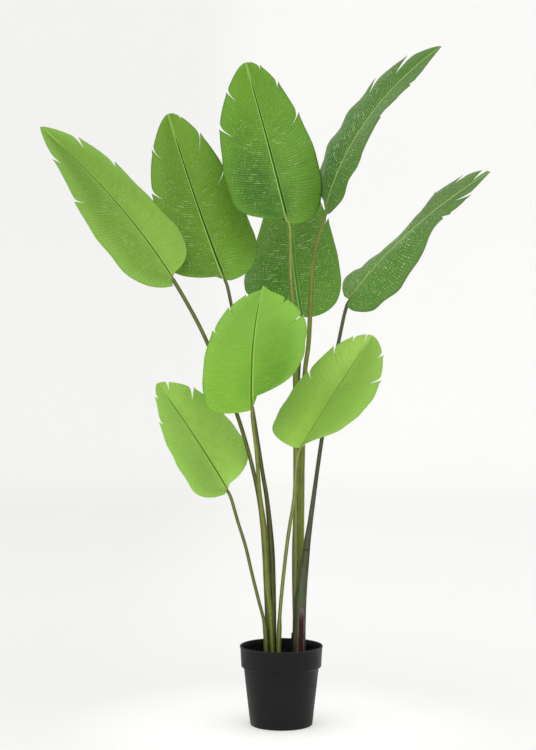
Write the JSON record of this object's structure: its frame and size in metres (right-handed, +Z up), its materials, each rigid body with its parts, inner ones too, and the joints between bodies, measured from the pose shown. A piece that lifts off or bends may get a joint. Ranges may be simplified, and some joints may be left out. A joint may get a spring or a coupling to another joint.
{
  "type": "potted bird of paradise",
  "caption": "tall potted bird of paradise: broad paddle leaves with torn edges on long slender stalks, rising in two clumps from a round black nursery pot",
  "frame": {"origin": "centre of the pot's flat underside", "axes": "+Z up along the plant, -Y towards the front of the plant, +X to the right seen from the front"},
  "size_m": [0.9581, 0.5843, 1.4789],
  "materials": {
    "pot": "satin",
    "soil": "matte",
    "blade_dark": "satin",
    "blade_mid": "satin",
    "blade_light": "satin",
    "stalk_brown": "satin",
    "stalk_olive": "satin",
    "stalk_dark": "satin",
    "withered": "matte",
    "bract": "matte"
  },
  "bodies": {
    "root": {"pot": "pot", "soil": "soil", "stalk_far_left": "stalk_brown", "blade_far_left": "blade_light", "stalk_left": "stalk_brown", "blade_left": "blade_mid", "stalk_top": "stalk_olive", "blade_top": "blade_mid", "stalk_behind": "stalk_dark", "blade_behind": "blade_dark", "stalk_top_right": "stalk_olive", "blade_top_right": "blade_dark", "stalk_far_right": "stalk_dark", "blade_far_right": "blade_dark", "stalk_front": "stalk_olive", "blade_front": "blade_light", "stalk_front_right": "stalk_olive", "blade_front_right": "blade_light", "stalk_front_left": "stalk_olive", "blade_front_left": "blade_light", "dry_sheath": "withered", "bract": "bract"}
  },
  "joints": []
}
